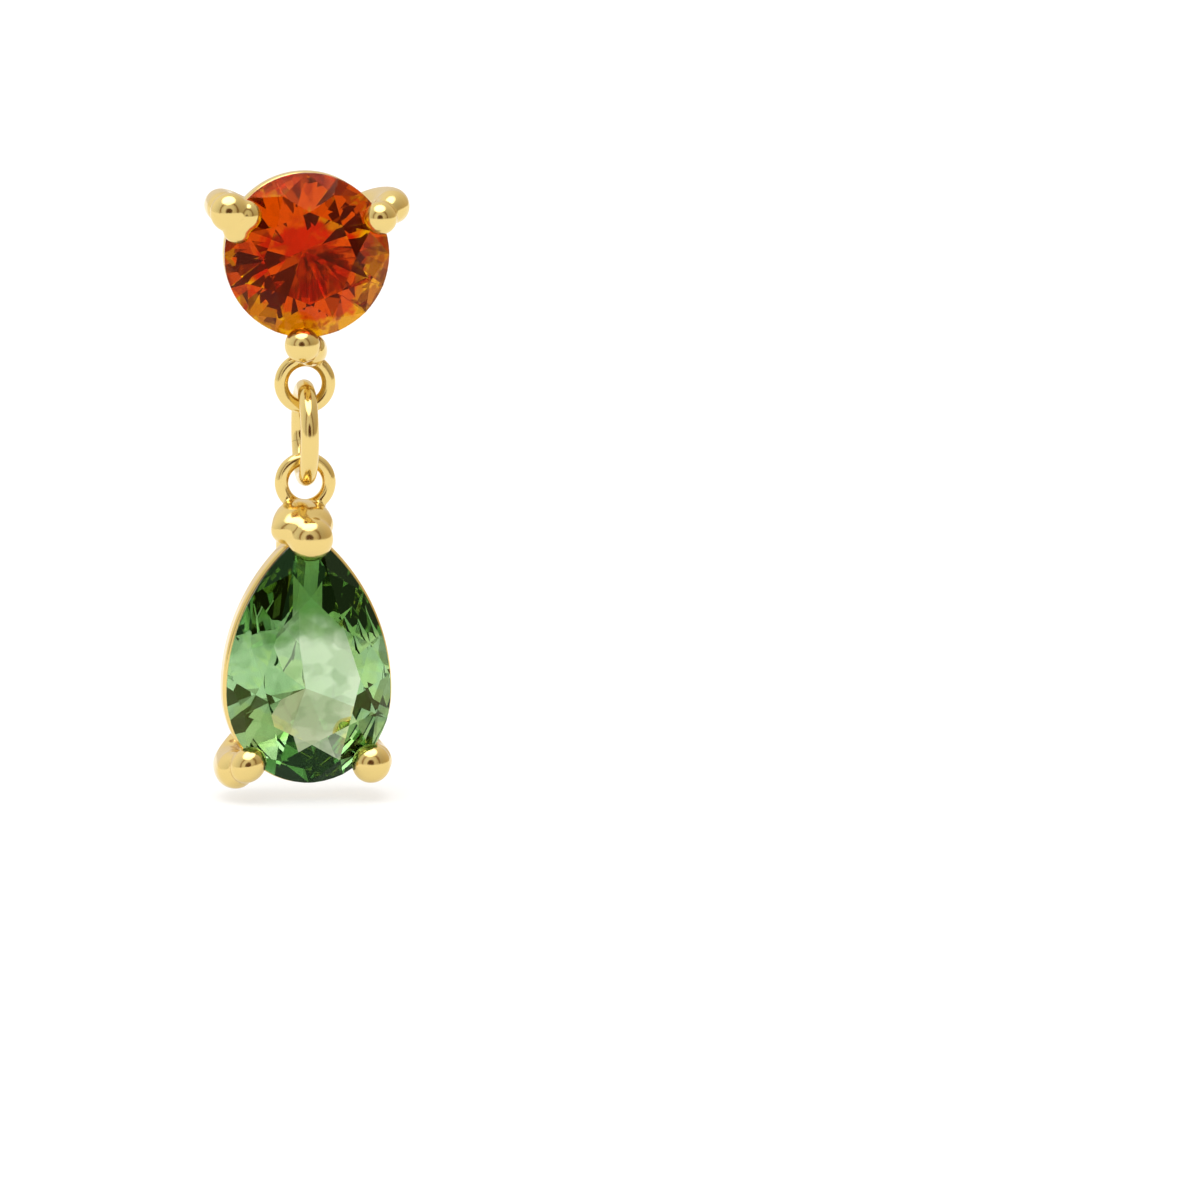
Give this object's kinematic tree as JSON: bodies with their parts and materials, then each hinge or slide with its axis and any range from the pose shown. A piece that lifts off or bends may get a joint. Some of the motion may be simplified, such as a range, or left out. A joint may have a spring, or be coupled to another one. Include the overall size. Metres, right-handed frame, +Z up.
{
  "type": "drop earring",
  "caption": "Drop earring: round stone in a pronged head with an ear post, a jump ring below it and a pear stone hanging in a pronged basket.",
  "frame": {"origin": "middle of the ear post's root, where it leaves the flat back of the round stone's head", "axes": "+Y along the ear post away from the stones, +Z up along the hanging drop, the stones' tables face -Y"},
  "size_m": [0.006, 0.0146, 0.0187],
  "materials": {
    "gold": "polished yellow gold",
    "orange_stone": "polished cut stone, deep orange-red with amber edges",
    "green_stone": "polished cut stone, light green with dark green facets"
  },
  "bodies": {
    "stud": {"stud_setting": "gold", "round_stone": "orange_stone"},
    "jump_ring": {"jump_ring": "gold"},
    "drop": {"pear_setting": "gold", "pear_stone": "green_stone"}
  },
  "joints": [
    {"name": "ring_swing", "type": "hinge", "parent": "stud", "child": "jump_ring", "pos_m": [0, -0.00274, -0.0047], "axis": [1, 0, 0], "range_deg": [-65, 65]},
    {"name": "drop_swing", "type": "hinge", "parent": "jump_ring", "child": "drop", "pos_m": [0, -0.00274, -0.00683], "axis": [0, 1, 0], "range_deg": [-90, 90]}
  ]
}
